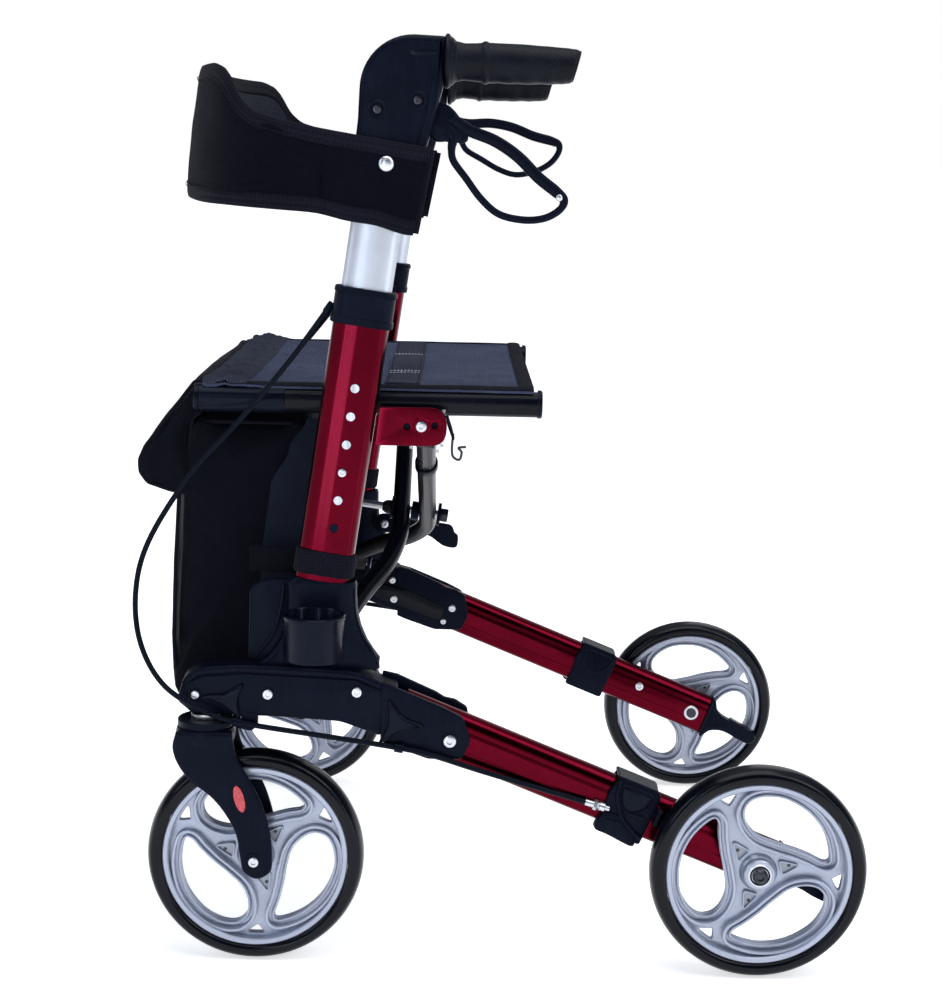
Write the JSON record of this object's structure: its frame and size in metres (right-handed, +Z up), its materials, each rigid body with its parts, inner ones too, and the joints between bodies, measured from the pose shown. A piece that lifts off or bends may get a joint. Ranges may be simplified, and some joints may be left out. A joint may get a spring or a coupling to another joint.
{
  "type": "rollator walker",
  "caption": "Folding walking frame with four wheels, a woven seat over an X brace, a backrest band, loop brakes and an under-seat bag.",
  "frame": {"origin": "on the ground under the middle of the walker's bounding box", "axes": "-X is the front, where the casters are; +X points back to the user and the grips; +Y is the walker's right; +Z up"},
  "size_m": [0.683, 0.628, 0.846],
  "materials": {
    "red_anodised": "metallic deep red",
    "satin_aluminium": "satin anodised",
    "bright_steel": "zinc plated, bright",
    "black_metal": "black satin powder coat",
    "black_plastic": "moulded, satin, slightly blue black",
    "grip_rubber": "soft, slightly ribbed",
    "tyre_rubber": "smooth glossy polyurethane",
    "rim_silver": "silver painted plastic",
    "cable_jacket": "smooth cable jacket",
    "seat_fabric": "coarse black weave",
    "padded_fabric": "padded black fabric with bound edges",
    "bag_fabric": "black coated fabric with piping"
  },
  "bodies": {
    "left_frame": {"post_left": "red_anodised", "post_bracket_left": "red_anodised", "collar_left": "black_plastic", "height_screw_left": "bright_steel", "brake_cable_left": "cable_jacket", "post_socket_left": "black_plastic", "side_beam_left": "black_plastic", "rear_leg_left": "red_anodised", "brake_clamp_left": "black_plastic", "end_plug_left": "black_plastic", "rear_axle_left": "bright_steel", "cane_cup_left": "black_plastic", "bag": "bag_fabric", "bag_flap": "bag_fabric"},
    "right_frame": {"post_right": "red_anodised", "post_bracket_right": "red_anodised", "collar_right": "black_plastic", "height_screw_right": "bright_steel", "brake_cable_right": "cable_jacket", "post_socket_right": "black_plastic", "side_beam_right": "black_plastic", "rear_leg_right": "red_anodised", "brake_clamp_right": "black_plastic", "end_plug_right": "black_plastic", "rear_axle_right": "bright_steel"},
    "brace_a": {"brace_tube_a": "black_metal", "brace_bolt": "bright_steel"},
    "brace_b": {"brace_tube_b": "black_metal"},
    "left_rail": {"seat_rail_left": "black_metal", "rail_cap_front_left": "black_plastic", "rail_cap_rear_left": "black_plastic", "seat": "seat_fabric"},
    "left_handle": {"handle_tube_left": "satin_aluminium", "handle_housing_left": "black_plastic", "grip_left": "grip_rubber", "backrest": "padded_fabric"},
    "left_lever": {"brake_lever_left": "black_plastic"},
    "left_shoe": {"brake_shoe_left": "black_plastic"},
    "left_rear_wheel": {"rear_tyre_left": "tyre_rubber", "rear_rim_left": "rim_silver"},
    "left_caster": {"caster_fork_left": "black_plastic", "caster_axle_left": "bright_steel"},
    "left_caster_wheel": {"caster_tyre_left": "tyre_rubber", "caster_rim_left": "rim_silver"},
    "right_rail": {"seat_rail_right": "black_metal", "rail_cap_front_right": "black_plastic", "rail_cap_rear_right": "black_plastic"},
    "right_handle": {"handle_tube_right": "satin_aluminium", "handle_housing_right": "black_plastic", "grip_right": "grip_rubber"},
    "right_lever": {"brake_lever_right": "black_plastic"},
    "right_shoe": {"brake_shoe_right": "black_plastic"},
    "right_rear_wheel": {"rear_tyre_right": "tyre_rubber", "rear_rim_right": "rim_silver"},
    "right_caster": {"caster_fork_right": "black_plastic", "caster_axle_right": "bright_steel"},
    "right_caster_wheel": {"caster_tyre_right": "tyre_rubber", "caster_rim_right": "rim_silver"},
    "fold_latch": {"fold_latch_right": "black_plastic"}
  },
  "joints": [
    {"name": "fold", "type": "hinge", "parent": "left_frame", "child": "brace_a", "pos_m": [-0.1525, -0.214, 0.278], "axis": [0.9906, 0, -0.1368], "range_deg": [0, 42.9], "deforming": ["seat", "backrest", "bag", "bag_flap"]},
    {"name": "brace_cross", "type": "hinge", "parent": "brace_a", "child": "brace_b", "pos_m": [-0.085, 0.01, 0.37841], "axis": [0.9906, 0, -0.1368], "range_deg": [-86, 0]},
    {"name": "right_frame_hinge", "type": "hinge", "parent": "brace_b", "child": "right_frame", "pos_m": [-0.1525, 0.234, 0.278], "axis": [0.9906, 0, -0.1368], "range_deg": [0, 43]},
    {"name": "right_rail_hinge", "type": "hinge", "parent": "brace_a", "child": "right_rail", "pos_m": [-0.0985, 0.234, 0.49001], "axis": [0.9906, 0, -0.1368], "range_deg": [-43, 0]},
    {"name": "left_rail_hinge", "type": "hinge", "parent": "brace_b", "child": "left_rail", "pos_m": [-0.0715, -0.214, 0.48628], "axis": [0.9906, 0, -0.1368], "range_deg": [0, 43]},
    {"name": "left_handle_slide", "type": "slide", "parent": "left_frame", "child": "left_handle", "axis": [0.1368, 0, 0.9906], "range_m": [-0.0512, 0.0768]},
    {"name": "right_handle_slide", "type": "slide", "parent": "right_frame", "child": "right_handle", "axis": [0.1368, 0, 0.9906], "range_m": [-0.0512, 0.0768]},
    {"name": "left_lever_pivot", "type": "hinge", "parent": "left_handle", "child": "left_lever", "pos_m": [-0.0735, -0.238, 0.776], "axis": [0, 1, 0], "range_deg": [-31.2, 0]},
    {"name": "left_shoe_pivot", "type": "hinge", "parent": "left_frame", "child": "left_shoe", "pos_m": [0.1285, -0.269, 0.166], "axis": [0, 1, 0], "range_deg": [-0.1, 10.86]},
    {"name": "right_lever_pivot", "type": "hinge", "parent": "right_handle", "child": "right_lever", "pos_m": [-0.0735, 0.258, 0.776], "axis": [0, 1, 0], "range_deg": [-8, 23.2]},
    {"name": "right_shoe_pivot", "type": "hinge", "parent": "right_frame", "child": "right_shoe", "pos_m": [0.1285, 0.289, 0.166], "axis": [0, 1, 0], "range_deg": [-8.1, 2.86]},
    {"name": "left_rear_wheel_spin", "type": "hinge", "parent": "left_frame", "child": "left_rear_wheel", "pos_m": [0.2415, -0.274, 0.1], "axis": [0, 1, 0], "continuous": true},
    {"name": "left_caster_swivel", "type": "hinge", "parent": "left_frame", "child": "left_caster", "pos_m": [-0.268, -0.252, 0.24], "axis": [0, 0, 1], "continuous": true},
    {"name": "left_caster_wheel_spin", "type": "hinge", "parent": "left_caster", "child": "left_caster_wheel", "pos_m": [-0.2212, -0.252, 0.1], "axis": [0, 1, 0], "continuous": true},
    {"name": "right_rear_wheel_spin", "type": "hinge", "parent": "right_frame", "child": "right_rear_wheel", "pos_m": [0.2415, 0.294, 0.1], "axis": [0, 1, 0], "continuous": true},
    {"name": "right_caster_swivel", "type": "hinge", "parent": "right_frame", "child": "right_caster", "pos_m": [-0.268, 0.272, 0.24], "axis": [0, 0, 1], "continuous": true},
    {"name": "right_caster_wheel_spin", "type": "hinge", "parent": "right_caster", "child": "right_caster_wheel", "pos_m": [-0.2212, 0.272, 0.1], "axis": [0, 1, 0], "continuous": true},
    {"name": "fold_latch_pivot", "type": "hinge", "parent": "right_frame", "child": "fold_latch", "pos_m": [-0.1235, 0.2405, 0.322], "axis": [0, 1, 0], "range_deg": [-30, 0]}
  ],
  "couplings": [
    {"joint": "brace_cross", "follows": "fold", "ratio": -2},
    {"joint": "right_frame_hinge", "follows": "fold", "ratio": 1},
    {"joint": "right_rail_hinge", "follows": "fold", "ratio": -1},
    {"joint": "left_rail_hinge", "follows": "fold", "ratio": 1},
    {"joint": "right_handle_slide", "follows": "left_handle_slide", "ratio": 1},
    {"joint": "left_shoe_pivot", "follows": "left_lever_pivot", "ratio": -0.34483},
    {"joint": "right_shoe_pivot", "follows": "right_lever_pivot", "ratio": -0.34483}
  ]
}
